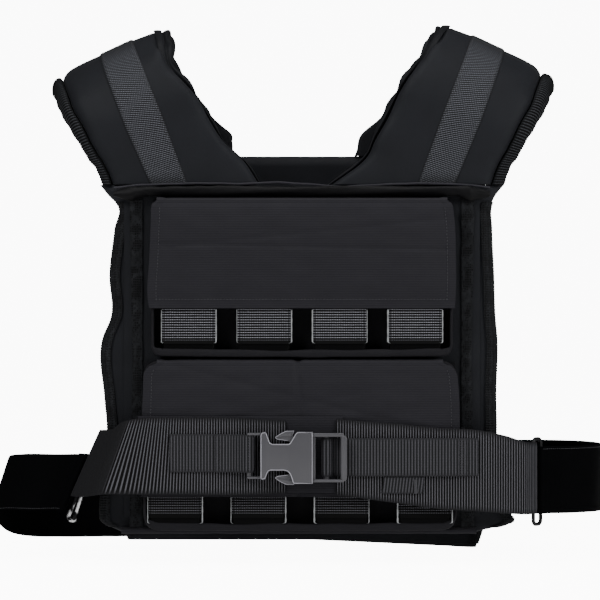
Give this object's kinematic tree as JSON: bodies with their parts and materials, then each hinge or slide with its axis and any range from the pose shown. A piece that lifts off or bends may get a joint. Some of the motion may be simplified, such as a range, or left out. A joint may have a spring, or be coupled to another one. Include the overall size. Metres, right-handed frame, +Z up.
{
  "type": "weighted vest",
  "caption": "Padded weighted vest with iron blocks in webbing sleeves under two cloth flaps, padded shoulders and a buckled webbing belt.",
  "frame": {"origin": "midway between the shoulder pads at the mean height of their undersides over the shoulders", "axes": "+Z up, the front of the vest faces -Y, +X to the right as seen from the front"},
  "size_m": [0.6327, 0.2073, 0.5432],
  "materials": {
    "nylon": "matte black coated cloth",
    "mesh": "black spacer mesh",
    "webbing": "ribbed black webbing",
    "band": "smooth black band",
    "iron": "gloss black coating",
    "plastic": "satin dark grey",
    "ring": "dark plated steel wire"
  },
  "bodies": {
    "root": {"back_cover": "nylon", "back_pad": "mesh", "belt_left": "webbing", "belt_right": "webbing", "belt_underlay": "nylon", "buckle_plug": "plastic", "buckle_socket": "plastic", "front_cover": "nylon", "front_hem": "nylon", "front_pad": "mesh", "lower_block_1": "iron", "lower_block_2": "iron", "lower_block_3": "iron", "lower_block_4": "iron", "lower_compartment": "nylon", "lower_flap": "nylon", "lower_sleeve_1": "webbing", "lower_sleeve_2": "webbing", "lower_sleeve_3": "webbing", "lower_sleeve_4": "webbing", "mesh_strip_left": "mesh", "mesh_strip_right": "mesh", "ring_left": "ring", "ring_right": "ring", "shoulder_lining_left": "mesh", "shoulder_lining_right": "mesh", "shoulder_pad_left": "nylon", "shoulder_pad_right": "nylon", "shoulder_webbing_left": "webbing", "shoulder_webbing_right": "webbing", "side_band_left": "band", "side_band_right": "band", "strap_left": "webbing", "strap_right": "webbing", "strap_tail": "webbing", "tail_tag": "band", "upper_block_1": "iron", "upper_block_2": "iron", "upper_block_3": "iron", "upper_block_4": "iron", "upper_compartment": "nylon", "upper_flap": "nylon", "upper_sleeve_1": "webbing", "upper_sleeve_2": "webbing", "upper_sleeve_3": "webbing", "upper_sleeve_4": "webbing", "yoke_band": "nylon", "yoke_piping": "webbing"}
  },
  "joints": []
}
